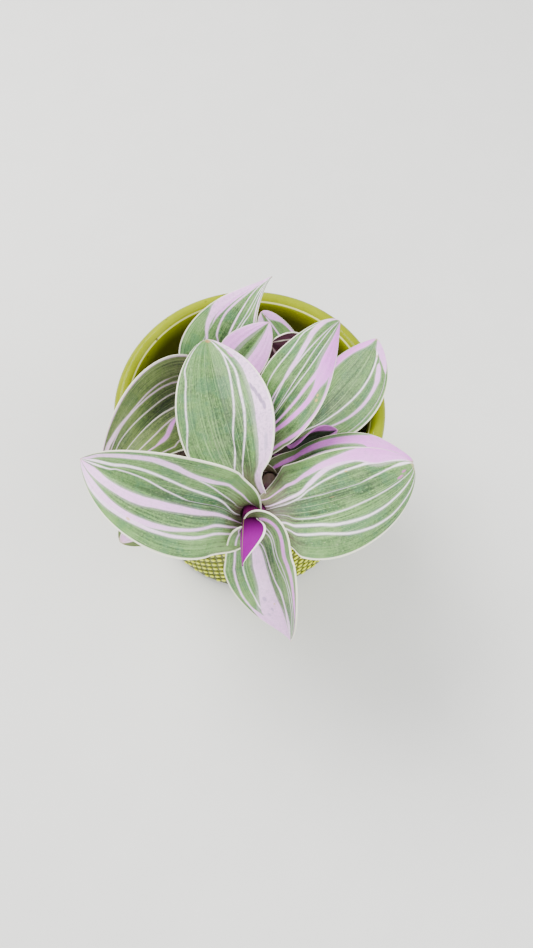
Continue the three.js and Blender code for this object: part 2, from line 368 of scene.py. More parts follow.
def makePot():
    profile = potProfile()
    deselect()
    bpy.ops.mesh.primitive_circle_add(vertices=len(profile), fill_type="NOTHING")
    piece = bpy.context.object
    for vertex, place in zip(piece.data.vertices, profile):
        vertex.co = (place.x * mm, 0, place.y * mm)
    startEdit("DESELECT")
    outline = bmesh.from_edit_mesh(piece.data)
    outline.verts.ensure_lookup_table()
    first, last = outline.verts[0], outline.verts[-1]
    closing = [edge for edge in outline.edges if first in edge.verts and last in edge.verts]
    bmesh.ops.delete(outline, geom=closing, context="EDGES_FACES")
    bmesh.update_edit_mesh(piece.data)
    bpy.ops.mesh.select_all(action="SELECT")
    bpy.ops.mesh.spin(steps=pot["steps"], angle=2 * math.pi, center=(0, 0, 0), axis=(0, 0, 1))
    bpy.ops.mesh.select_all(action="SELECT")
    bpy.ops.mesh.remove_doubles(threshold=0.01 * mm)
    bpy.ops.mesh.normals_make_consistent(inside=False)
    bpy.ops.object.mode_set(mode="OBJECT")

    raised = piece.data.attributes.new("relief", "FLOAT", "POINT")
    top = pot["height"] - pot["lipDepth"]
    for vertex in piece.data.vertices:
        x, y, z = vertex.co / mm
        radius = math.hypot(x, y)
        if pot["footRounding"] < z < top - 0.2 and radius > pot["reliefOutside"]:
            share = ovalRelief(math.atan2(y, x) % (2 * math.pi), z)
            raised.data[vertex.index].value = share
            grow = 1 + share * pot["relief"] / radius
            vertex.co.x *= grow
            vertex.co.y *= grow
    bpy.ops.object.shade_smooth()
    return finished(piece, "pot_glazed", "pot", [glazeSkin()])


def glazeSkin():
    skin = Skin("oliveGlaze")
    where = skin.place()
    x, y, z = skin.split(where)
    relief = skin.node("Attribute", {"attribute_name": "relief"}, output=2)
    cloud = skin.noise(where, 38, 4, 0.6)
    fine = skin.noise(where, 900, 3)
    pooled = skin.blend(*glaze["pooled"], cloud.step(0.3, 0.7))
    crest = skin.blend(*glaze["crest"], fine.step(0.35, 0.65))
    plain = skin.blend(*glaze["plain"], cloud.step(0.35, 0.65))
    away = skin.node("VectorMath", {"operation": "LENGTH"}, {0: skin.join(x, y, 0.0)}, output=1)
    onWall = z.step(*metres(glaze["wallBelow"])) * away.step(*metres(glaze["wallOutside"]))
    wall = skin.blend(pooled, crest, relief.step(0.25, 0.85))
    tone = skin.blend(plain, wall, onWall)
    # Painted shade: darkens the inner wall below the lip, for the shadow inside the pot.
    inside = z.step(*metres(glaze["shadeBelow"])) * away.step(*metres(glaze["shadeWithin"]))
    tone = skin.blend(tone, glaze["inside"], inside * 0.75)
    # Painted highlight: a pale line round the lip's inner rounding, standing in for a glint.
    edge = away.step(*metres(glaze["highlightFrom"])) * away.step(*metres(glaze["highlightTo"]))
    edge = edge * z.step(*metres(glaze["highlightAbove"]))
    tone = skin.blend(tone, glaze["edge"], edge * 0.75)
    specks = skin.cells(where, 230).step(0.2, 0.1) * skin.noise(where, 30, 1).step(0.5, 0.58)
    tone = skin.blend(tone, glaze["dirt"], specks * (1 - onWall) * 0.9)
    pits = skin.cells(where, 620).step(0.16, 0.04)
    tone = skin.blend(tone, glaze["pit"], pits * 0.35)
    roughness = 0.2 + 0.1 * cloud + 0.25 * specks
    height = fine * 0.12 - pits * 0.5 + cloud * 0.5
    shine = 0.12 * (1 - onWall) + onWall * relief.step(0.3, 0.9) * 0.15
    return skin.finish(tone, roughness, height, 0.12, Coat_Weight=shine, Specular_IOR_Level=0.03)


makePot()
print("pot made")


plant = {
    "stems": {
        "front": {"radius": 3, "line": [(5, -16, 68), (11, -24, 97), (7, -43, 117), (0, -62, 138)]},
        "right": {"radius": 2.6, "line": [(23, -6, 68), (19, -7, 87), (14, -17, 101), (3, -23, 116)]},
        "back": {"radius": 2.6, "line": [(-8, 24, 68), (-15, 18, 80), (-24, 14, 98), (-14, 9, 115)]},
        "rear": {"radius": 2.4, "line": [(33, 11, 68), (33, 14, 87), (28, 21, 94), (25, 18, 112)]},
    },
    "stemSides": 28,
    "stemEnd": 0.96,
    "stemSteps": 90,
    "nodeSwelling": 0.16,
    "nodeReach": 0.05,
    "headLength": 2.2,
    "ridges": 7,
    "ridgeHeight": 0.05,
    "standOff": 1.2,
    "claspAngle": 45,
    "claspReach": 0.1,
    "neckShare": 0.17,
    "neckReach": 0.16,
    "collar": {"open": 0.17, "turns": (172, 172), "aside": (0, 0, 0), "width": 0.9, "lift": 0},
    "tipHalfWidth": 0.12,
    "bladeThickness": 0.55,
    "rows": 88,
    "columns": 48,
    "sheathRows": 12,
    "sheathLength": 9,
    "sheathShare": 0.16,
    "sheathTones": ("#b58a94", "#a0947c"),
    "marginWave": 0.35,
    "waveRun": 5.2,  # length of leaf for each radian of a wave
    "waveEnds": (0.2, 0.12),
    "pleat": 0.07,
    "pleatsAcross": 9,
    "creaseRounding": 0.03,
}


def onStem(name, share):
    # A point on the stem's middle line and the direction of the stem there.
    a, b, c, d = (Vector(place) for place in plant["stems"][name]["line"])
    rest = 1 - share
    place = a * rest**3 + b * 3 * rest**2 * share + c * 3 * rest * share**2 + d * share**3
    ahead = (b - a) * rest**2 + (c - b) * 2 * rest * share + (d - c) * share**2
    return place, ahead.normalized()


def stemLength(name):
    return sum((onStem(name, (i + 1) / 20)[0] - onStem(name, i / 20)[0]).length for i in range(20))


def outDirection(form):
    # Level direction in which the leaf leaves its stem, square to the stem.
    place, ahead = onStem(form["stem"], form["at"])
    heading = math.radians(form["heading"])
    side = Vector((math.cos(heading), math.sin(heading), 0))
    return (side - ahead * side.dot(ahead)).normalized()


def leafFoot(form):
    place, ahead = onStem(form["stem"], form["at"])
    if form.get("rolled"):
        return place + ahead * plant["standOff"] + Vector(form["aside"])
    away = plant["stems"][form["stem"]]["radius"] + form.get("standOff", plant["standOff"])
    return place + outDirection(form) * away


def leafAxes(form, along):
    # Forward, left and up at a share of the blade's length.
    slope = math.radians(form["rise"] - form["droop"] * along)
    heading = math.radians(form["heading"] + form["sweep"] * along)
    forward = Vector(
        (math.cos(slope) * math.cos(heading), math.cos(slope) * math.sin(heading), math.sin(slope))
    )
    level = Vector((-math.sin(heading), math.cos(heading), 0))
    above = forward.cross(level)
    lean = math.radians(mix(form["roll"][0], form["roll"][1], along))
    left = level * math.cos(lean) + above * math.sin(lean)
    up = above * math.cos(lean) - level * math.sin(lean)
    return forward, left, up


def halfWidth(form, along):
    widest = form["widest"]
    fullness = form["fullness"]
    tipPower = fullness * (1 - widest) / widest
    full = (along / widest) ** fullness * ((1 - along) / (1 - widest)) ** tipPower
    opened = smooth(along / plant["neckReach"])
    share = mix(form.get("neck", plant["neckShare"]), full, opened)
    return max(form["width"] / 2 * share, plant["tipHalfWidth"])


def bladePoint(form, midrib, along, across, phase):
    # A point of the blade's middle surface, with the small waves that a real leaf has.
    forward, left, up = leafAxes(form, along)
    clasp = form["fold"] if form.get("rolled") else plant["claspAngle"]
    spread = math.hypot(across, plant["creaseRounding"]) - plant["creaseRounding"]
    start = math.radians(mix(form["fold"], clasp, math.exp(-along / plant["claspReach"])))
    turn = math.radians(form["edge"][0 if across >= 0 else 1] - form["fold"])
    end = start + turn * spread
    size = halfWidth(form, along)
    if abs(turn) < 1e-6:
        out, lift = math.cos(start) * spread, math.sin(start) * spread
    else:
        out = (math.sin(end) - math.sin(start)) / turn
        lift = (math.cos(start) - math.cos(end)) / turn
    footCalm, tipCalm = plant["waveEnds"]
    calm = 0.0 if form.get("rolled") else smooth(along / footCalm) * smooth((1 - along) / tipCalm)
    wave = math.sin(along * form["length"] / plant["waveRun"] + phase + (1.3 if across > 0 else 0))
    ripple = plant["marginWave"] * across**4 * wave * calm
    pleats = plant["pleat"] * math.cos(across * math.pi * plant["pleatsAcross"]) * calm * (1 - across**8)
    side = math.copysign(1, across)
    return midrib + left * (size * out * side) + up * (size * lift + ripple + pleats)


def spine(form, rows):
    # The midrib, as a point for each row.
    here = leafFoot(form)
    line = [here.copy()]
    strides = 3
    for stride in range(rows * strides):
        forward = leafAxes(form, (stride + 0.5) / (rows * strides))[0]
        here = here + forward * (form["length"] / rows / strides)
        if (stride + 1) % strides == 0:
            line.append(here.copy())
    return line


def collarOf(form):
    return {**plant["collar"], **form.get("collar", {})}


def collarPoint(form, across):
    # The foot of a leaf is a collar round its stem. This gives its turn round the stem and its reach.
    collar = collarOf(form)
    turn = math.radians(across * collar["turns"][0 if across >= 0 else 1])
    return turn, plant["stems"][form["stem"]]["radius"] + collar["width"]


def openedPoint(form, point, across, along):
    # Near its foot a blade opens out of the collar.
    collar = collarOf(form)
    if along >= collar["open"]:
        return point
    middle, ahead = onStem(form["stem"], form["at"])
    outward = outDirection(form)
    leftward = ahead.cross(outward)
    away = point - middle
    bladeTurn = math.atan2(away.dot(leftward), away.dot(outward))
    bladeReach = math.hypot(away.dot(leftward), away.dot(outward))
    turn, reach = collarPoint(form, across)
    share = along / collar["open"]
    turn = mix(turn, bladeTurn, smooth(share))
    reach = mix(reach, bladeReach, share**1.4)
    height = away.dot(ahead) * smooth(share)
    side = outward * math.cos(turn) + leftward * math.sin(turn)
    aside = Vector(collar["aside"]) * (1 - smooth(share) ** 2)
    aside.z += collar["lift"] * max(-across, 0) ** 1.5 * 4 * share * (1 - share)
    return middle + aside + side * reach + ahead * height


def sheathPoint(form, across, down):
    # Below the collar the leaf goes on as a sheath round its stem. down is 1 at the sheath's end.
    name = form["stem"]
    turn, reach = collarPoint(form, across)
    aside = Vector(collarOf(form)["aside"]) * (1 - smooth(down * 1.3))
    share = max(form["at"] - plant["sheathLength"] * down / stemLength(name), 0.02)
    centre, along = onStem(name, min(share, 1.0))
    outward = outDirection(form)
    out = (outward - along * outward.dot(along)).normalized()
    reach = mix(reach, plant["stems"][name]["radius"] + 0.35, smooth(down * 1.5))
    return centre + aside + out * (math.cos(turn) * reach) + along.cross(out) * (math.sin(turn) * reach)


def makeLeaf(name, form, materials):
    phase = seedOf(name) % 7
    rolled = form.get("rolled", False)
    sheathRows = plant["sheathRows"]
    rows = plant["rows"]
    deselect()
    bpy.ops.mesh.primitive_grid_add(
        x_subdivisions=plant["columns"], y_subdivisions=rows + sheathRows, size=1
    )
    piece = bpy.context.object
    midrib = spine(form, rows)
    shares = {}
    for vertex in piece.data.vertices:
        across = -2 * vertex.co.x
        row = round((vertex.co.y + 0.5) * (rows + sheathRows)) - sheathRows
        along = row / rows
        if row >= 0:
            place = bladePoint(form, midrib[row], along, across, phase)
            if not rolled:
                place = openedPoint(form, place, across, along)
        else:
            down = -row / sheathRows
            along = -plant["sheathShare"] * down
            if rolled:
                place = bladePoint(form, midrib[0], 0, across, phase)
                place = place - leafAxes(form, 0)[0] * plant["sheathLength"] * down
            else:
                place = sheathPoint(form, across, down)
        vertex.co = place * mm
        shares[vertex.index] = ((across + 1) / 2, along)
    layer = piece.data.uv_layers[0]
    layer.name = "leafMap"
    for loop in piece.data.loops:
        layer.data[loop.index].uv = shares[loop.vertex_index]
    applyModifier(
        piece, "SOLIDIFY", thickness=plant["bladeThickness"] * mm, offset=0,
        material_offset=1, material_offset_rim=2,
    )
    bpy.ops.object.shade_smooth_by_angle(angle=math.radians(60))
    return finished(piece, name + "_blade", name, materials)


def stripe(pink, *stations):
    # A pale stripe through stations of (place along the blade, place across it, half width), in
    # percent of its length and of its half width. pink is 0 for a white stripe and 1 for a pink one.
    return {
        "pink": pink,
        "centre": [(along / 100, across / 100) for along, across, half in stations],
        "half": [(along / 100, half / 100) for along, across, half in stations],
    }


def spot(code, along, across, length, width):
    # Its place and its half length and half width, in the same percent.
    return {"colour": code, "at": (along / 100, across / 100), "size": (length / 100, width / 100)}


tones = {
    "bright": {
        "dark": "#26421f", "light": "#6a964e", "fleck": "#b0cc8c",
        "cool": "#3f7650", "white": "#fff4fc", "pink": "#f47ef6",
    },
    "shaded": {
        "dark": "#2a3a1a", "light": "#657a3a", "fleck": "#9aa868",
        "cool": "#3f5c30", "white": "#efe6da", "pink": "#e07ce2",
    },
    # curled: its greens are painted shade, for the shadow inside the curled leaf; its pinks are its own
    # colour
    "curled": {
        "dark": "#11170c", "light": "#2b3322", "fleck": "#3c4630",
        "cool": "#1a2418", "white": "#c87cc4", "pink": "#a83ca8",
    },
    "dusky": {
        "dark": "#35131f", "light": "#5e2440", "fleck": "#7a4058",
        "cool": "#401c38", "white": "#f0e6cc", "pink": "#b880a0",
    },
}
greenTones = ("bright", "shaded")

# A leaf leaves its stem at this share of the stem. heading and rise give the direction of its foot,
# sweep and droop how far that turns by the tip, and roll the lean at its foot and tip. widest is the
# share of its length where it is broadest, and fullness the power by which it narrows from there.
# fold is the slope of both halves beside the midrib, and edge the slope at the left and right margin.
leaves = {
    "front_left_leaf": {
        "stem": "front", "at": 0.9, "standOff": 3.6, "length": 70, "width": 44, "heading": 196,
        "sweep": -58, "rise": 49, "droop": 66, "roll": [-48, -23], "widest": 0.36,
        "fullness": 0.53, "fold": 22, "edge": [8, 31],
        "collar": {"open": 0.2, "turns": (150, 205), "aside": (-3, -4, 2.5), "width": 1.2},
        "sheath": ("#6a2c58", "#48223c"),
        "stripes": [
            stripe(0.3, (2, 80, 2.2), (8, 72, 2.2), (15, 57, 1.8), (30, 62, 2.2), (50, 67, 2.5),
                   (60, 68, 4.4), (70, 70, 7), (87, 72, 15.5)),
            stripe(0.5, (2, 60, 2.2), (8, 52, 2.2), (15, 40, 2.2), (30, 48, 2.2), (50, 58, 4.4),
                   (70, 64, 6.2), (87, 66, 13.6)),
            stripe(0.55, (2, 36, 1.4), (6, 30, 1.8), (15, 18, 2.5), (30, 18, 4), (50, 20, 6.5),
                   (60, 25, 8), (80, 27, 11), (90, 20, 22)),
            stripe(0.1, (36, -4, 0), (40, -8, 0.9), (50, -18, 1.2), (65, -33, 1.3), (75, -35, 1.4),
                   (80, -28, 2.2), (90, -25, 5.6)),
            stripe(0.2, (2, -4, 0.7), (13, -10, 1.4), (20, -22, 1.8), (40, -33, 2), (50, -42, 2.2),
                   (60, -50, 2.5), (70, -53, 3.5), (80, -47, 4.4), (90, -50, 7.4)),
            stripe(0.1, (12, -30, 0), (18, -35, 0.9), (30, -50, 1), (60, -78, 0.9)),
            stripe(0.45, (2, -88, 1.2), (6, -80, 1.6), (10, -68, 1.8), (15, -64, 2), (20, -65, 2.5),
                   (30, -60, 4), (40, -63, 4.4), (50, -75, 5.3), (60, -82, 5.3), (85, -82, 7),
                   (95, -70, 12.4)),
        ],
        "spots": [spot("#c9a24a", 62, 68, 1.2, 3)],
    },
    "front_right_leaf": {
        "stem": "front", "at": 0.94, "length": 60, "width": 48, "heading": 4, "sweep": 24,
        "rise": 7, "droop": 11, "roll": [-9, 13], "widest": 0.38, "fullness": 0.32, "fold": -4,
        "edge": [-43, -40], "collar": {"open": 0.12, "turns": (95, 172)},
        "sheath": ("#6a2c58", "#48223c"),
        "stripes": [
            stripe(0.8, (2, 75, 2.2), (10, 50, 2.2), (15, 45, 2.5), (30, 57, 4.4), (40, 65, 6.2),
                   (60, 72, 10), (70, 74, 16), (80, 72, 28), (95, 70, 21.7)),
            stripe(0.4, (1, 24, 2.2), (10, 17, 2.5), (20, 20, 2.5), (30, 35, 4), (40, 50, 4.8),
                   (50, 60, 5.3), (65, 62, 5.3), (75, 62, 18)),
            stripe(0.1, (3, 2, 0.9), (10, 6, 0.9), (20, 12, 0.9), (30, 25, 1.1), (50, 40, 1.3),
                   (70, 45, 2.2), (80, 50, 10)),
            stripe(0.1, (62, 10, 0), (70, 13, 0.9), (85, 20, 1.4), (95, 25, 6.2)),
            stripe(0, (12, -26, 0), (20, -30, 0.6), (85, -28, 0.7)),
            stripe(0.2, (2, -75, 1.4), (8, -60, 2), (12, -45, 2), (25, -42, 2), (40, -48, 1.9),
                   (70, -55, 1.7), (92, -52, 2.2)),
            stripe(0.1, (2, -95, 1.4), (7, -85, 1.6), (12, -60, 1.6), (25, -57, 1.6), (50, -70, 1.6),
                   (80, -80, 1.4), (95, -80, 2.2)),
        ],
        "spots": [
            spot("#d09a3c", 57, 40, 1.4, 2), spot("#8f7448", 42, -3, 2, 1.2),
            spot("#c04fae", 88, -20, 3, 4), spot("#c04fae", 92, -10, 2, 5),
        ],
    },
    "front_hanging_leaf": {
        "sheath": ("#571048", "#3c1430"), "dust": 0.35,
        "stem": "front", "at": 0.9, "length": 59, "width": 37, "heading": -87, "sweep": 27,
        "rise": -7, "droop": 63, "roll": [23, 60], "widest": 0.34, "fullness": 0.73, "fold": 25,
        "edge": [33, 13], "collar": {"open": 0.3, "turns": (250, 85), "aside": (-2, -10, 6.5), "lift": 7},
        "stripes": [
            stripe(0.9, (4, 50, 2.2), (10, 60, 4.4), (20, 68, 5.3), (30, 75, 6.2), (40, 83, 5.3),
                   (50, 87, 4.4), (65, 95, 1.4)),
            stripe(0.1, (3, 30, 1.1), (8, 35, 1.2), (20, 38, 1.2), (30, 50, 1.2), (50, 75, 1.3),
                   (70, 85, 1.1)),
            stripe(0.1, (5, 20, 0.7), (10, 25, 0.9), (30, 38, 1), (45, 62, 0.9), (60, 72, 0.7)),
            stripe(0.3, (12, -2, 0), (20, 0, 1.4), (40, 12, 2.5), (50, 30, 3.5), (60, 38, 4.4),
                   (75, 45, 12)),
            stripe(0.45, (4, -15, 1.4), (15, -20, 5.3), (25, -22, 11), (45, -22, 14), (55, -24, 22),
                   (70, -25, 42), (90, -20, 49.6)),
            stripe(0.1, (15, -60, 0), (25, -57, 0.9), (50, -57, 1), (60, -60, 2.2)),
            stripe(0.5, (5, -95, 2.2), (12, -93, 2.2), (15, -80, 2), (30, -77, 1.9), (60, -85, 2.2),
                   (75, -80, 20)),
        ],
        "spots": [
            spot("#cfae62", 60, -15, 1.2, 3), spot("#a58bb5", 55, -35, 2, 6),
            spot("#a58bb5", 64, -28, 2, 5), spot("#b497c0", 68, -48, 2, 5),
        ],
    },
    "front_upright_leaf": {
        "dust": 0.6,
        "stem": "front", "at": 0.89, "length": 69, "width": 41, "heading": 109, "sweep": -10,
        "rise": 15, "droop": 17, "roll": [-33, 16], "widest": 0.44, "fullness": 0.55, "fold": 19,
        "edge": [-7, 12], "collar": {"open": 0.1, "turns": (172, 110)},
        "sheath": ("#6a2c58", "#48223c"),
        "stripes": [
            stripe(0.1, (30, 97, 0.7), (35, 95, 1), (50, 80, 1.2), (70, 78, 1.3), (80, 88, 1.4)),
            stripe(0.1, (10, 34, 0), (15, 27, 1), (20, 17, 1.3), (30, 2, 1.4), (40, -10, 1.6),
                   (50, -22, 1.6), (70, -37, 1.6), (90, -50, 2.2)),
            stripe(0.2, (5, 20, 0.7), (13, 8, 1.3), (20, -10, 1.6), (30, -27, 1.7), (40, -38, 2),
                   (60, -47, 2.2), (80, -57, 2.2), (92, -50, 4.4)),
            stripe(0.4, (0, -86, 20), (10, -84, 20), (20, -82, 20), (30, -82, 19), (50, -86, 19),
                   (65, -90, 18), (80, -95, 17), (93, -90, 15.5)),
        ],
        "spots": [
            spot("#65557a", 60, -72, 3.5, 3), spot("#65557a", 56, -76, 4, 3.5),
            spot("#65557a", 51, -80, 4, 4), spot("#6e5f86", 46, -84, 3.5, 4),
            spot("#b7a3c4", 25, -80, 6, 6),
            spot("#c66cc0", 86, -72, 3, 5), spot("#b07c4a", 98.5, 0, 1.2, 50),
        ],
    },
    "front_low_right_leaf": {
        "stem": "front", "at": 0.5, "standOff": 2, "length": 60, "width": 38, "heading": 6,
        "sweep": -21, "rise": 54, "droop": 57, "roll": [-11, -28], "widest": 0.52,
        "fullness": 0.74, "fold": 2, "edge": [-26, -10],
        "stripes": [
            stripe(0.9, (5, 50, 4.4), (20, 62, 12), (50, 64, 14), (65, 66, 20), (75, 60, 42),
                   (90, 50, 43.4)),
            stripe(0.3, (10, 20, 1.4), (40, 30, 3.5), (80, 30, 5.3)),
            stripe(0.3, (10, -40, 1.4), (40, -50, 3.5), (80, -50, 7)),
        ],
    },
    "front_low_left_leaf": {
        "tone": "shaded",
        "stem": "front", "at": 0.51, "standOff": 1.8, "length": 66, "width": 32, "heading": 197,
        "sweep": 19, "rise": 36, "droop": 51, "roll": [4, -5], "widest": 0.44, "fullness": 0.48,
        "fold": 15, "edge": [-8, -9],
        "stripes": [
            stripe(0.4, (10, 50, 1.4), (50, 60, 3.5), (90, 50, 7.4)),
            stripe(0.6, (10, 10, 1.4), (50, 15, 4.4), (80, 10, 20), (93, 0, 37.2)),
            stripe(0.3, (10, -50, 1.4), (50, -60, 3.5), (90, -50, 6.2)),
        ],
    },
    "right_long_leaf": {
        "stem": "right", "at": 1, "length": 65, "width": 30, "heading": 38, "sweep": 21,
        "rise": 77, "droop": 99, "roll": [-24, 50], "widest": 0.33, "fullness": 0.35, "fold": 7,
        "edge": [-32, -24],
        "stripes": [
            stripe(0.2, (30, 58, 0), (40, 65, 1), (60, 70, 1.2), (75, 90, 1.4)),
            stripe(0.5, (10, 20, 1.4), (27, 30, 1.4), (44, 30, 2.2), (50, 32, 4.4), (60, 38, 5.3),
                   (70, 50, 7), (80, 70, 10), (90, 86, 12.4)),
            stripe(0.3, (10, 12, 1.1), (27, 20, 1.4), (38, 25, 1.4), (48, 30, 1.4)),
            stripe(0, (10, -1, 0.9), (27, 0, 1), (50, 5, 1), (70, 12, 1.2), (90, 20, 2.2)),
            stripe(0, (20, -4, 0), (33, -7, 0.9), (50, -12, 0.9), (90, -18, 1.4)),
            stripe(0.8, (10, -15, 1.4), (17, -22, 2.2), (30, -30, 2.5), (50, -37, 4), (63, -45, 7)),
            stripe(0.9, (8, -30, 2.2), (15, -38, 4.4), (30, -52, 5.3), (50, -62, 7), (63, -62, 22),
                   (80, -68, 32), (93, -60, 24.8)),
            stripe(0.8, (5, -95, 2.2), (10, -92, 3.5), (13, -85, 4.4), (30, -95, 4.4), (50, -97, 4.4),
                   (70, -92, 10)),
        ],
        "spots": [spot("#c9a55a", 46, -80, 1.2, 4), spot("#c9a55a", 49, -76, 1, 3)],
    },
    "right_broad_leaf": {
        "stem": "right", "at": 0.61, "length": 60, "width": 40, "heading": 27, "sweep": 32,
        "rise": 29, "droop": 19, "roll": [-32, 0], "widest": 0.46, "fullness": 0.68, "fold": 1,
        "edge": [-45, -20],
        "stripes": [
            stripe(0.9, (20, 85, 5), (40, 82, 8), (55, 78, 13), (80, 76, 17), (95, 60, 30)),
            stripe(0.1, (10, -20, 1), (20, -30, 1.3), (45, -38, 1.7), (60, -42, 1.7), (85, -45, 2.2),
                   (95, -40, 7)),
            stripe(0.6, (20, -50, 0.7), (33, -58, 1.8), (45, -65, 2.5), (70, -68, 4), (76, -66, 7),
                   (81, -62, 7), (85, -60, 0)),
            stripe(0.6, (80, -90, 0), (87, -80, 14), (93, -65, 30)),
        ],
        "spots": [
            spot("#c98b3e", 88, -45, 1.4, 4), spot("#a58bb5", 62, 60, 1.2, 4),
            spot("#a58bb5", 70, 72, 1.2, 3),
        ],
    },
    "right_curled_leaf": {
        # Its upper greens are painted shade, for the shadow inside its curl.
        "tone": "curled", "margin": "#b860b4", "rim": "purple",
        "stem": "right", "at": 0.845, "length": 27, "width": 19, "heading": 9, "sweep": -2,
        "rise": -6, "droop": -23, "roll": [98, -8], "widest": 0.42, "fullness": 0.58, "fold": 43,
        "edge": [80, 20],
        "stripes": [
            stripe(0.5, (10, 90, 12), (50, 85, 20), (90, 70, 35)),
            stripe(0.5, (10, -90, 10), (50, -90, 12), (90, -80, 30)),
        ],
    },
    "back_tall_leaf": {
        "dust": 0.4,
        "stem": "back", "at": 0.72, "standOff": 1.5, "length": 57, "width": 37, "heading": 64,
        "sweep": -32, "rise": 69, "droop": 52, "roll": [10, -1], "widest": 0.25, "fullness": 0.44,
        "fold": 16, "edge": [-4, -9],
        "stripes": [
            stripe(0.55, (20, 35, 0), (33, 43, 2), (40, 55, 4), (50, 68, 8), (60, 78, 17), (75, 80, 20),
                   (95, 60, 30)),
            stripe(0.7, (45, 50, 0), (55, 56, 4), (70, 56, 6), (85, 50, 10)),
            stripe(0.5, (25, 10, 0), (35, 15, 1.6), (40, 25, 2), (50, 35, 2.2), (60, 40, 3), (80, 38, 5)),
            stripe(0.3, (35, -10, 0), (45, -10, 2.2), (65, -8, 3.5), (85, 15, 5.3), (95, 20, 18.6)),
            stripe(0.1, (40, -22, 0), (50, -27, 1.2), (77, -45, 1.3), (90, -40, 3.5)),
            stripe(0.1, (45, -35, 0), (55, -40, 1.2), (80, -65, 1.3), (95, -60, 5.3)),
            stripe(0.5, (30, -92, 1.4), (60, -90, 2.2), (90, -80, 6.2)),
        ],
    },
    "back_small_leaf": {
        "stem": "back", "at": 0.98, "length": 33, "width": 24, "heading": 21, "sweep": 27,
        "rise": 46, "droop": 14, "roll": [4, 9], "widest": 0.4, "fullness": 0.51, "fold": 26,
        "edge": [-12, -13],
        "stripes": [
            stripe(0.75, (5, 68, 20), (30, 80, 34), (60, 84, 36), (90, 80, 36)),
            stripe(0.75, (5, -62, 25), (30, -66, 34), (60, -66, 36), (90, -66, 40)),
        ],
    },
    "back_left_leaf": {
        "tone": "shaded",
        "stem": "back", "at": 0.72, "standOff": 4, "length": 82, "width": 43, "heading": 228,
        "sweep": 17, "rise": 60, "droop": 79, "roll": [-47, -6], "widest": 0.28, "fullness": 0.48,
        "fold": 22, "edge": [-10, 26],
        "stripes": [
            stripe(0.9, (33, 28, 0), (40, 35, 3.5), (46, 45, 4.4), (52, 55, 4.4), (60, 60, 1.4)),
            stripe(0.4, (35, 27, 0), (40, 28, 0.9), (57, 35, 1), (70, 40, 0.7)),
            stripe(0.4, (40, 72, 0), (45, 75, 0.9), (52, 85, 0.9)),
            stripe(0.1, (25, 10, 0), (33, 8, 1.2), (60, 3, 1.3), (80, 0, 2.2)),
            stripe(0.1, (20, -24, 0), (28, -25, 0.9), (40, -25, 1), (70, -40, 1.2)),
            stripe(0.4, (20, -44, 0), (25, -45, 1), (50, -52, 1.3), (60, -60, 3.5), (70, -70, 6.2),
                   (75, -78, 7.9), (90, -80, 12.4)),
            stripe(0.4, (28, -57, 0), (33, -57, 0.9), (50, -57, 1.2), (60, -60, 1.4)),
            stripe(0.9, (10, -98, 1.4), (40, -98, 2.2), (70, -98, 2.2), (90, -98, 6.2)),
        ],
    },
    "rear_upright_leaf": {
        "stem": "rear", "at": 0.62, "length": 38, "width": 26, "heading": 135, "sweep": -3,
        "rise": 31, "droop": -16, "roll": [10, 20], "widest": 0.44, "fullness": 0.46, "fold": 11,
        "edge": [-10, -26],
        "stripes": [
            stripe(0.7, (10, -88, 2), (40, -88, 5), (70, -84, 10), (88, -64, 32)),
            stripe(0.4, (10, -20, 1.4), (50, -20, 2), (75, -20, 3)),
            stripe(0.5, (10, 60, 2.2), (50, 70, 6), (80, 60, 30)),
        ],
        "spots": [spot("#8d6450", 93, -15, 2, 15)],
    },
    "rear_sideways_leaf": {
        "tone": "dusky",
        "stem": "rear", "at": 0.97, "standOff": 1.6, "length": 23, "width": 21, "heading": 166,
        "sweep": 32, "rise": 76, "droop": 35, "roll": [98, 95], "widest": 0.47, "fullness": 0.59,
        "fold": 13, "edge": [16, 0],
        "stripes": [
            stripe(0.1, (10, 45, 3), (50, 60, 3.5), (90, 30, 5)),
            stripe(0.6, (10, -40, 3), (50, -50, 5), (90, -40, 5)),
        ],
    },
    "front_rolled_leaf": {
        "tone": "young", "rolled": True,
        "stem": "front", "at": 1, "length": 25.5, "width": 17.5, "heading": -95, "sweep": 5,
        "rise": 36, "droop": 14, "roll": [-140, -140], "widest": 0.36, "fullness": 0.85,
        "fold": 12, "edge": [150, 50], "aside": [-3, 0, 0], "neck": 0.7, "marginAt": 0.89,
        "sheath": ("#7a1c62", "#4a123c"),
    },
}

underTones = {
    "bright": ("#6d7458", "#8a5578"),
    "shaded": ("#555c36", "#6b4a5c"),
    "young": ("#82007f", "#6c006c"),
    "curled": ("#9a3c98", "#7c2c74"),
    "dusky": ("#5e2440", "#46182c"),
}

marks = {
    "freckle": "#7c5590",  # on the pale stripes
    "dust": "#a58fae",
    "flush": "#6a3448",  # at the blade's foot
    "margin": "#fbf8e0",
    "tip": "#c9b48a",
    "lineOnGreen": "#22361c",
    "lineOnPale": "#8d6a94",
    "midrib": "#7d7a3c",  # on the underside
    "marginUnder": "#fffaee",
    "stripeUnder": "#cdb9c8",
    "youngFoot": "#38002e",
}


def overSheath(skin, tone, form, along, streaks):
    # Past the blade's foot a leaf has the colours of its sheath.
    sheath = skin.blend(*form.get("sheath", plant["sheathTones"]), streaks.step(0.4, 0.7))
    return skin.blend(tone, sheath, along.step(-0.01, -0.05))


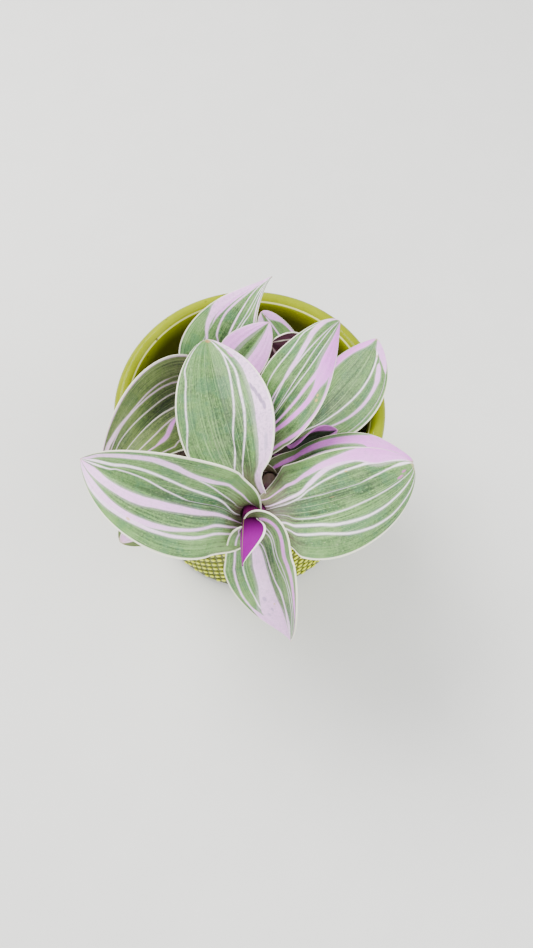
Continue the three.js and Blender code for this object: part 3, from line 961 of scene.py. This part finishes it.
def surfaceSkin(name, form):
    # The upper face: green bands, pale stripes, fine veins, a pale margin and small spots.
    tone = tones[form.get("tone", "bright")]
    skin = Skin(name + "Upper")
    where = skin.place()
    u, along, _ = skin.split(skin.uv())
    wander = skin.noise(where, 70, 3) - 0.5
    across = u * 2 - 1
    strayed = across + wander * 0.045
    spread = abs(strayed)
    seed = float(seedOf(name) % 37)
    streaks = skin.noise(skin.join(across * 34 + wander * 1.5, along * 2.2, seed), 1.0, 3, 0.6)
    hairlines = skin.noise(skin.join(across * 110, along * 5, seed + 5), 1.0, 2)
    cloud = skin.noise(where, 55, 3)
    cells = skin.cells(where, 1500)
    grain = skin.noise(where, 1400, 4, 0.75)
    threads = skin.noise(skin.join(across * 62, along * 1.6, seed + 7), 1.0, 1).step(0.58, 0.72)
    crinkle = skin.noise(skin.join(across * 16, along * 60, seed + 9), 1.0, 3, 0.65)
    flecks = skin.noise(skin.join(across * 75, along * 42, seed + 2), 1.0, 2).step(0.6, 0.74)

    darkness = spread.step(0.6, 0.0) * along.step(0.95, 0.1) * 0.75
    darkness = darkness + along.step(0.12, 0.0) * 0.3 + (streaks.step(0.3, 0.7) - 0.5) * 0.8
    darkness = darkness + (cloud - 0.5) * 1.5 + (crinkle - 0.5) * 1.3 + (grain - 0.5) * 1.8 + 0.25
    green = skin.blend(tone["light"], tone["dark"], darkness.clamp())
    patches = skin.noise(where, 130, 3, 0.6)
    green = skin.blend(green, tone["cool"], patches.step(0.52, 0.36) * 0.42)
    green = skin.blend(green, tone["fleck"], patches.step(0.5, 0.72) * 0.16)
    green = skin.blend(green, tone["fleck"], flecks * 0.6)
    green = skin.blend(green, tone["fleck"], threads * 0.45)
    green = skin.blend(green, tone["dark"], spread.step(0.035, 0.012) * along.step(0.9, 0.4) * 0.8)

    paleness = None
    pinkness = None
    for one in form["stripes"]:
        away = abs(strayed - along.curve(one["centre"]))
        half = along.curve(one["half"])
        shape = ((half * 1.1 - away) * 42 + 0.5).clamp()
        soft = ((half * 1.5 + 0.03 - away) * 14).clamp() * 0.22
        shape = shape.larger(soft * (half * 60).clamp())
        paleness = shape if paleness is None else paleness.larger(shape)
        if one["pink"] > 0.25:
            blush = shape * one["pink"]
            pinkness = blush if pinkness is None else pinkness.larger(blush)
    paleness = paleness * along.step(-0.02, 0.04)
    blush = 0.25 * cloud if pinkness is None else pinkness * (0.7 + 0.7 * cloud)
    pale = skin.blend(tone["white"], tone["pink"], blush.clamp())
    freckles = cells.step(0.22, 0.1) * skin.noise(where, 420, 2).step(0.5, 0.62)
    pale = skin.blend(pale, marks["freckle"], freckles * 0.45)
    dusty = skin.noise(where, 700, 4, 0.7).step(0.42, 0.68)
    pale = skin.blend(pale, marks["dust"], dusty * form.get("dust", 0.22))
    surface = skin.blend(green, pale, paleness * (0.86 + 0.28 * streaks).clamp())

    flush = along.step(0.24, 0.03) * (streaks * 2.2 - 0.4).clamp() * (1 - paleness * 0.6)
    surface = skin.blend(surface, marks["flush"], flush * 0.75)
    margin = abs(across).step(0.96, 0.98) * along.step(0.02, 0.1)
    surface = skin.blend(surface, form.get("margin", marks["margin"]), margin * 0.95)
    tip = along.step(0.975, 0.995)
    surface = skin.blend(surface, marks["tip"], tip * 0.5)
    lines = 1 - hairlines.step(0.3, 0.7)
    surface = skin.blend(surface, marks["lineOnGreen"], lines * (1 - paleness) * 0.3)
    surface = skin.blend(surface, marks["lineOnPale"], lines * paleness * 0.22)
    for mark in form.get("spots", ()):
        length, width = mark["size"]
        gone = (along - mark["at"][0]) / length
        aside = (across - mark["at"][1]) / width
        reach = gone * gone + aside * aside + (cloud - 0.5) * 1.4
        surface = skin.blend(surface, mark["colour"], reach.step(1.2, 0.3) * 0.7)
    surface = overSheath(skin, surface, form, along, streaks)

    roughness = 0.4 + 0.14 * streaks - 0.05 * paleness + 0.1 * cells
    height = streaks * 0.6 + hairlines * 0.3 + cells * 0.18 + paleness * 0.1 + crinkle * 0.5
    return skin.finish(surface, roughness, height, 0.16, Specular_IOR_Level=0.4)


def undersideSkin(name, form):
    kind = form.get("tone", "bright")
    skin = Skin(name + "Under")
    where = skin.place()
    u, along, _ = skin.split(skin.uv())
    across = u * 2 - 1
    streaks = skin.noise(skin.join(across * 30, along * 2, 3.0), 1.0, 3, 0.6)
    cloud = skin.noise(where, 60, 3)
    tone = skin.blend(*underTones[kind], (streaks * 0.9 + cloud * 0.5 - 0.2).clamp())
    if kind == "young":
        tone = skin.blend(tone, marks["youngFoot"], along.step(0.6, 0.05) * 0.9)
    rib = abs(across).step(0.05, 0.015) * along.step(-0.02, 0.1)
    tone = skin.blend(tone, marks["midrib"], rib * 0.8)
    marginAt = form.get("marginAt", 0.955)
    margin = abs(across).step(marginAt, marginAt + 0.03) * along.step(0.02, 0.1)
    tone = skin.blend(tone, form.get("margin", marks["marginUnder"]), margin * 0.9)
    if kind in greenTones:
        for one in form["stripes"]:
            away = abs(across - along.curve(one["centre"]))
            shape = ((along.curve(one["half"]) - away) * 24 + 0.5).clamp()
            tone = skin.blend(tone, marks["stripeUnder"], shape * 0.45)
    tone = overSheath(skin, tone, form, along, streaks)
    sheen = 0.02 if kind == "young" else 0.15
    return skin.finish(tone, 0.42 + 0.15 * streaks, streaks + cloud * 0.4, 0.1, Specular_IOR_Level=sheen)


def rimSkin(name, first, second):
    skin = Skin(name)
    grain = skin.noise(skin.place(), 500, 2)
    tone = skin.blend(first, second, grain)
    return skin.finish(tone, 0.45 + 0.1 * grain, grain, 0.05)


rims = {
    "pale": rimSkin("paleRim", "#fffaee", "#f4e6ee"),
    "purple": rimSkin("purpleRim", "#b850b8", "#c878c8"),
}
for leafName, form in leaves.items():
    slotName = "leaf" if form.get("tone", "bright") in greenTones else "young_leaf"
    upperSkin = undersideSkin if form.get("rolled") else surfaceSkin
    skins = [upperSkin(leafName, form), undersideSkin(leafName, form), rims[form.get("rim", "pale")]]
    makeLeaf(leafName, form, skins)
print("leaves made")


def stemRadius(name, share):
    joints = [form["at"] for form in leaves.values() if form["stem"] == name and not form.get("rolled")]
    nearest = min(abs(at - share) for at in joints)
    swelling = math.exp(-((nearest / plant["nodeReach"]) ** 2))
    return plant["stems"][name]["radius"] * (1 - plant["nodeSwelling"] * (1 - swelling))


def makeStem(name):
    # A column whose rings are laid along the stem's line, with a rounded head.
    sides = plant["stemSides"]
    deselect()
    bpy.ops.mesh.primitive_cylinder_add(vertices=sides, radius=1, depth=1, end_fill_type="NGON")
    piece = bpy.context.object
    startEdit("SELECT")
    column = bmesh.from_edit_mesh(piece.data)
    walls = [edge for edge in column.edges if abs(edge.verts[0].co.z - edge.verts[1].co.z) > 0.5]
    bmesh.ops.subdivide_edges(column, edges=walls, cuts=plant["stemSteps"] - 1, use_grid_fill=True)
    bmesh.update_edit_mesh(piece.data)
    bpy.ops.object.mode_set(mode="OBJECT")
    length = stemLength(name)
    for vertex in piece.data.vertices:
        share = (vertex.co.z + 0.5) * plant["stemEnd"]
        turn = math.atan2(vertex.co.y, vertex.co.x)
        centre, ahead = onStem(name, share)
        across = Vector((0, 1, 0)).cross(ahead).normalized()
        other = ahead.cross(across)
        left = (plant["stemEnd"] - share) * length
        dome = math.sqrt(max(1 - (1 - min(left / plant["headLength"], 1)) ** 2, 0.04))
        ridge = plant["ridgeHeight"] * math.cos(turn * plant["ridges"] + share * 2)
        reach = stemRadius(name, share) * dome + ridge
        vertex.co = (centre + (across * math.cos(turn) + other * math.sin(turn)) * reach) * mm
    startEdit("SELECT")
    bpy.ops.mesh.normals_make_consistent(inside=False)
    bpy.ops.object.mode_set(mode="OBJECT")
    bpy.ops.object.shade_smooth_by_angle(angle=math.radians(60))
    return finished(piece, name + "_stem_skin", name + "_stem", [stemSkin(name)])


stemTones = {
    "bark": ("#6f7350", "#8a6068"),
    "low": "#5c3f44",
    "lowBelow": (105, 82),  # the heights between which it fades in
    "head": "#5c1a48",
    "headAbove": (116, 124),
}


def stemSkin(name):
    skin = Skin(name + "StemSkin")
    where = skin.place()
    x, y, z = skin.split(where)
    streaks = skin.noise(skin.join(x * 900, y * 900, z * 60), 1.0, 3, 0.6)
    cloud = skin.noise(where, 90, 2)
    tone = skin.blend(*stemTones["bark"], (streaks * 0.8 + cloud * 0.6 - 0.25).clamp())
    tone = skin.blend(tone, stemTones["low"], z.step(*metres(stemTones["lowBelow"])) * 0.6)
    tone = skin.blend(tone, stemTones["head"], z.step(*metres(stemTones["headAbove"])))
    return skin.finish(tone, 0.38 + 0.2 * streaks, streaks, 0.15)


for stemName in plant["stems"]:
    makeStem(stemName)
print("stems made")


hairs = {"perLeaf": 24, "length": (0.9, 1.9), "thickness": 0.09, "lift": 0.9, "seed": 5}


def makeHairs():
    # Fine hairs along the open edges of the sheaths.
    draw = random.Random(hairs["seed"])
    thickness = hairs["thickness"] * mm
    grown = []
    for form in leaves.values():
        if form.get("rolled"):
            continue
        ahead = onStem(form["stem"], form["at"])[1]
        for _ in range(hairs["perLeaf"]):
            across = draw.choice((-1, 1)) * draw.uniform(0.5, 1)
            down = draw.uniform(0, 0.9)
            root = sheathPoint(form, across, down)
            inner = onStem(form["stem"], max(form["at"] - 0.02 - 0.1 * down, 0.02))[0]
            away = (root - inner).normalized() + ahead * hairs["lift"] * draw.uniform(0.3, 1)
            length = draw.uniform(*hairs["length"])
            deselect()
            bpy.ops.mesh.primitive_cone_add(vertices=3, radius1=thickness / 2, depth=length * mm)
            hair = bpy.context.object
            turn = away.to_track_quat("Z", "Y").to_matrix().to_4x4()
            middle = root + away.normalized() * (length / 2)
            hair.data.transform(Matrix.Translation(middle * mm) @ turn)
            grown.append(hair)
    skins = [rimSkin("hair", "#f2ead8", "#e6d4dc")]
    return finished(joined(grown), "sheath_hairs", None, skins)


makeHairs()
print("hairs made")


soil = {
    "surface": 83,
    "radius": 51.2,
    "footRadius": 46.6,
    "rings": 44,
    "sides": 120,
    "lumps": 1.5,
    "crumbs": 420,
    "crumbSize": (0.7, 2.4),
    "crumbShape": ((0.8, 1.5), (0.7, 1.1), (0.5, 0.9)),
    "crumbTurn": (0, 6.28),
    "crumbLean": (-0.5, 0.5),
    "crumbRoughness": (0.78, 1.2),
    "crumbRise": 0.12,
    "seed": 11,
}


def soilHeight(x, y):
    broad = noise.noise(Vector((x / 14, y / 14, 2.0)))
    fine = noise.noise(Vector((x / 3.6, y / 3.6, 5.0)))
    grain = noise.noise(Vector((x / 1.4, y / 1.4, 9.0)))
    return soil["surface"] + soil["lumps"] * (broad + 0.5 * fine + 0.25 * grain)


def makeSoil():
    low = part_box("soil")[0].z / mm
    middle = (soil["surface"] + low) / 2 * mm
    deselect()
    bpy.ops.mesh.primitive_cylinder_add(
        vertices=soil["sides"], radius=soil["radius"] * mm, depth=(soil["surface"] - low) * mm,
        end_fill_type="NGON", location=(0, 0, middle),
    )
    piece = bpy.context.object
    bpy.ops.object.transform_apply(location=True, rotation=True, scale=True)
    startEdit("DESELECT")
    body = bmesh.from_edit_mesh(piece.data)
    shrink = soil["footRadius"] / soil["radius"]
    for vertex in body.verts:
        if vertex.co.z < middle:
            vertex.co.x *= shrink
            vertex.co.y *= shrink
    for face in body.faces:
        face.select = face.normal.z > 0.9
    bmesh.update_edit_mesh(piece.data)
    for _ in range(soil["rings"] - 1):
        bpy.ops.mesh.inset(thickness=soil["radius"] / soil["rings"] * mm)
    bpy.ops.mesh.poke()
    bpy.ops.object.mode_set(mode="OBJECT")
    for vertex in piece.data.vertices:
        if vertex.co.z > middle:
            vertex.co.z = soilHeight(vertex.co.x / mm, vertex.co.y / mm) * mm

    draw = random.Random(soil["seed"])
    crumbs = []
    for _ in range(soil["crumbs"]):
        away = (soil["radius"] - 2) * math.sqrt(draw.random())
        turn = draw.uniform(0, 2 * math.pi)
        x, y = away * math.cos(turn), away * math.sin(turn)
        size = mix(*soil["crumbSize"], draw.random() ** 2)
        deselect()
        bpy.ops.mesh.primitive_ico_sphere_add(subdivisions=1, radius=size / 2 * mm)
        crumb = bpy.context.object
        shape = Matrix.Diagonal((*[draw.uniform(*limits) for limits in soil["crumbShape"]], 1))
        turned = Matrix.Rotation(draw.uniform(*soil["crumbTurn"]), 4, "Z")
        leaned = Matrix.Rotation(draw.uniform(*soil["crumbLean"]), 4, "X")
        for vertex in crumb.data.vertices:
            vertex.co *= draw.uniform(*soil["crumbRoughness"])
        rise = soilHeight(x, y) + size * soil["crumbRise"]
        place = Matrix.Translation(Vector((x, y, rise)) * mm)
        crumb.data.transform(place @ turned @ leaned @ shape)
        crumbs.append(crumb)
    return finished(joined([piece, *crumbs]), "compost_crumbs", "soil", [compostSkin()])


def compostSkin():
    skin = Skin("compost")
    where = skin.place()
    grain = skin.noise(where, 420, 5, 0.7)
    clods = skin.cells(where, 260)
    fibres = skin.noise(where, 150, 3, 0.6)
    stops = [(0.2, "#140e0a"), (0.5, "#2b1d14"), (0.8, "#4b3624")]
    tone = skin.node("ValToRGB", {"stops": stops}, {"Fac": grain * 0.7 + fibres * 0.3})
    return skin.finish(tone, 0.85 + 0.12 * grain, grain + clods * 0.7, 0.5)


makeSoil()
print("soil made")


camera = {
    "place": (0, -155.65, 407.24),
    "turn": 2.891,
    "pitch": 67.719,
    "roll": 0.881,
    "focalPixels": 760,
    "longSidePixels": 948,
    "sensor": 36,
    "clip": (10, 20000),
}


def makeCamera():
    turn = math.radians(camera["turn"])
    pitch = math.radians(camera["pitch"])
    roll = math.radians(camera["roll"])
    ahead = Vector((math.sin(turn) * math.cos(pitch), math.cos(turn) * math.cos(pitch), -math.sin(pitch)))
    right = ahead.cross(Vector((0, 0, 1))).normalized()
    up = right.cross(ahead)
    across = right * math.cos(roll) + up * math.sin(roll)
    upward = up * math.cos(roll) - right * math.sin(roll)
    deselect()
    bpy.ops.object.camera_add()
    eye = bpy.context.object
    axes = Matrix((across, upward, -ahead)).transposed().to_4x4()
    eye.matrix_world = Matrix.Translation(Vector(camera["place"]) * mm) @ axes
    eye.data.sensor_width = camera["sensor"]
    eye.data.sensor_fit = "AUTO"
    eye.data.lens = camera["focalPixels"] * camera["sensor"] / camera["longSidePixels"]
    eye.data.clip_start, eye.data.clip_end = metres(camera["clip"])
    bpy.context.scene.camera = eye


studio = {
    "floorSize": 8000,
    "lights": [
        {"place": (-450, 420, 900), "size": 700, "power": 21.0, "tint": (1.0, 0.99, 0.97)},
        {"place": (600, -300, 800), "size": 900, "power": 9.0, "tint": (0.97, 0.98, 1.0)},
        {"place": (0, -900, 500), "size": 900, "power": 6.5, "tint": (1.0, 1.0, 1.0)},
    ],
    "aim": (0, -20, 110),
    "floorTones": ("#d9d8d4", "#dfdeda"),
    "sky": (0.95, 0.97, 1.0, 1),
    "skyStrength": 1.05,
}


def makeStudio():
    deselect()
    bpy.ops.mesh.primitive_plane_add(size=studio["floorSize"] * mm)
    floor = bpy.context.object
    floor.name = "floor"
    skin = Skin("paleFloor")
    grain = skin.noise(skin.place(), 40, 3)
    tone = skin.blend(*studio["floorTones"], grain)
    floor.data.materials.append(skin.finish(tone, 0.6 + 0.1 * grain))
    for light in studio["lights"]:
        deselect()
        bpy.ops.object.light_add(type="AREA", location=Vector(light["place"]) * mm)
        lamp = bpy.context.object
        lamp.data.shape = "DISK"
        lamp.data.size = light["size"] * mm
        lamp.data.energy = light["power"]
        lamp.data.color = light["tint"]
        aim = Vector(studio["aim"]) * mm - lamp.location
        lamp.rotation_euler = aim.to_track_quat("-Z", "Y").to_euler()
    world = bpy.data.worlds.new("studio")
    bpy.context.scene.world = world
    world.use_nodes = True
    background = world.node_tree.nodes["Background"]
    background.inputs["Color"].default_value = studio["sky"]
    background.inputs["Strength"].default_value = studio["skyStrength"]


makeCamera()
makeStudio()
print("studio made")
